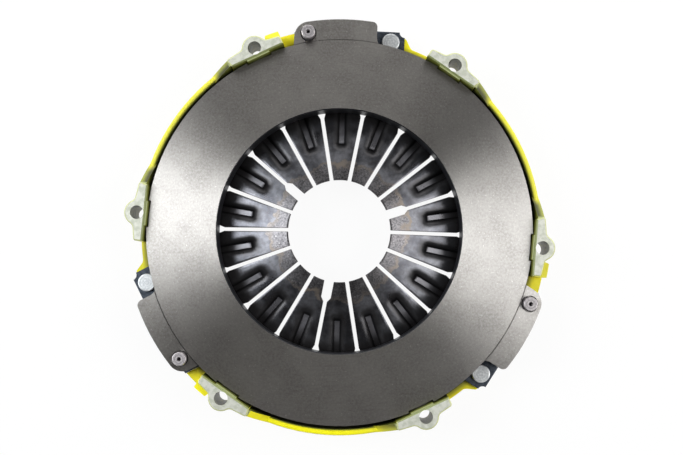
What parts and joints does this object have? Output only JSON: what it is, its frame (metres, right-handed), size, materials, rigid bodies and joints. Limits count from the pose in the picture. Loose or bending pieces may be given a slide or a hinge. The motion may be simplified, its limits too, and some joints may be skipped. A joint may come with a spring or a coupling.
{
  "type": "clutch pressure plate",
  "caption": "Pull-type clutch cover assembly: bolt-on cover, slotted diaphragm spring and a ground pressure plate on leaf straps.",
  "frame": {"origin": "centre of the bolt circle, on the machined mounting faces of the feet", "axes": "+Z along the clutch axis towards the flywheel; +X and +Y across it, 54.95 degrees clockwise of the first foot"},
  "size_m": [0.2668, 0.2615, 0.0385],
  "materials": {
    "cover_paint": "gloss yellow paint on cast iron, bare machined feet",
    "ring_steel": "drawn wire",
    "spring_steel": "blue-black tempered, shot peened, heat tint near the fingertips",
    "plate_iron": "ground friction face, as-cast back",
    "strap_steel": "blued spring steel",
    "rivet_steel": "dull plated steel"
  },
  "bodies": {
    "cover": {"cover": "cover_paint", "fulcrum_ring": "ring_steel", "diaphragm_spring": "spring_steel", "strap_1_leaf_1": "strap_steel", "strap_1_leaf_2": "strap_steel", "strap_1_leaf_3": "strap_steel", "strap_1_leaf_4": "strap_steel", "strap_2_leaf_1": "strap_steel", "strap_2_leaf_2": "strap_steel", "strap_2_leaf_3": "strap_steel", "strap_2_leaf_4": "strap_steel", "strap_3_leaf_1": "strap_steel", "strap_3_leaf_2": "strap_steel", "strap_3_leaf_3": "strap_steel", "strap_3_leaf_4": "strap_steel", "cover_rivet_1": "rivet_steel", "cover_rivet_2": "rivet_steel", "cover_rivet_3": "rivet_steel"},
    "pressure_plate": {"pressure_plate": "plate_iron", "lug_rivet_1": "rivet_steel", "lug_rivet_2": "rivet_steel", "lug_rivet_3": "rivet_steel"}
  },
  "joints": [
    {"name": "plate_travel", "type": "slide", "parent": "cover", "child": "pressure_plate", "axis": [0, 0, 1], "range_m": [-0.004, 0], "stiffness_N_per_m": 20000, "springref_m": 0.004, "deforming": ["diaphragm_spring", "strap_1_leaf_1", "strap_1_leaf_2", "strap_1_leaf_3", "strap_1_leaf_4", "strap_2_leaf_1", "strap_2_leaf_2", "strap_2_leaf_3", "strap_2_leaf_4", "strap_3_leaf_1", "strap_3_leaf_2", "strap_3_leaf_3", "strap_3_leaf_4"]}
  ]
}
